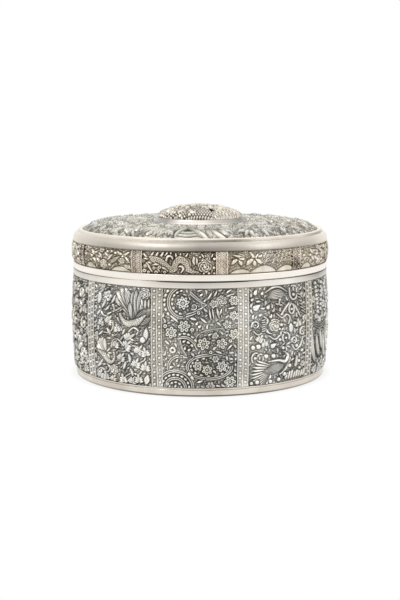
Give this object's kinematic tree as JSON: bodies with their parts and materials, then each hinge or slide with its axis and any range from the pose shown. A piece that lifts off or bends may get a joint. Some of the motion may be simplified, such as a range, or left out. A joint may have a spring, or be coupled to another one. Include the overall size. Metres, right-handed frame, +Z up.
{
  "type": "lidded box",
  "caption": "Round silver box with a lift-off slip lid: chased relief panels between beaded strips, plain bands at the edges and a domed boss on the lid.",
  "frame": {"origin": "middle of the foot's underside, on the surface that the box stands on", "axes": "+Z up along the box's axis, -Y the front that the picture shows, +X to its right"},
  "size_m": [0.1504, 0.15, 0.0972],
  "materials": {
    "plain_silver": "polished silver gone soft with handling, fine turned lines",
    "chased_silver": "chased and embossed relief with dark tarnish in the hollows and worn bright tops",
    "beaded_silver": "wires and beads, worn bright, with dark tarnish between them",
    "base_silver": "plain hammered sheet, scratched and dull"
  },
  "bodies": {
    "box": {"foot_band": "plain_silver", "base_plate": "base_silver", "mouth_band": "plain_silver", "inner_lip": "plain_silver", "wall_panel_01": "chased_silver", "wall_panel_02": "chased_silver", "wall_panel_03": "chased_silver", "wall_panel_04": "chased_silver", "wall_panel_05": "chased_silver", "wall_panel_06": "chased_silver", "wall_panel_07": "chased_silver", "wall_panel_08": "chased_silver", "wall_panel_09": "chased_silver", "wall_panel_10": "chased_silver", "wall_strip_01": "beaded_silver", "wall_strip_02": "beaded_silver", "wall_strip_03": "beaded_silver", "wall_strip_04": "beaded_silver", "wall_strip_05": "beaded_silver", "wall_strip_06": "beaded_silver", "wall_strip_07": "beaded_silver", "wall_strip_08": "beaded_silver", "wall_strip_09": "beaded_silver", "wall_strip_10": "beaded_silver"},
    "lid_rim": {"lid_rim_band": "plain_silver"},
    "lid": {"shoulder_moulding": "plain_silver", "lid_top": "chased_silver", "boss_collar": "plain_silver", "boss": "chased_silver", "lid_panel_01": "chased_silver", "lid_panel_02": "chased_silver", "lid_panel_03": "chased_silver", "lid_panel_04": "chased_silver", "lid_panel_05": "chased_silver", "lid_panel_06": "chased_silver", "lid_panel_07": "chased_silver", "lid_panel_08": "chased_silver", "lid_panel_09": "chased_silver", "lid_panel_10": "chased_silver", "lid_strip_01": "beaded_silver", "lid_strip_02": "beaded_silver", "lid_strip_03": "beaded_silver", "lid_strip_04": "beaded_silver", "lid_strip_05": "beaded_silver", "lid_strip_06": "beaded_silver", "lid_strip_07": "beaded_silver", "lid_strip_08": "beaded_silver", "lid_strip_09": "beaded_silver", "lid_strip_10": "beaded_silver"}
  },
  "joints": [
    {"name": "lid_lift", "type": "slide", "parent": "box", "child": "lid_rim", "axis": [0, 0, 1], "range_m": [0, 0.08]},
    {"name": "lid_turn", "type": "hinge", "parent": "lid_rim", "child": "lid", "pos_m": [0, 0, 0.0652], "axis": [0, 0, 1], "continuous": true}
  ]
}
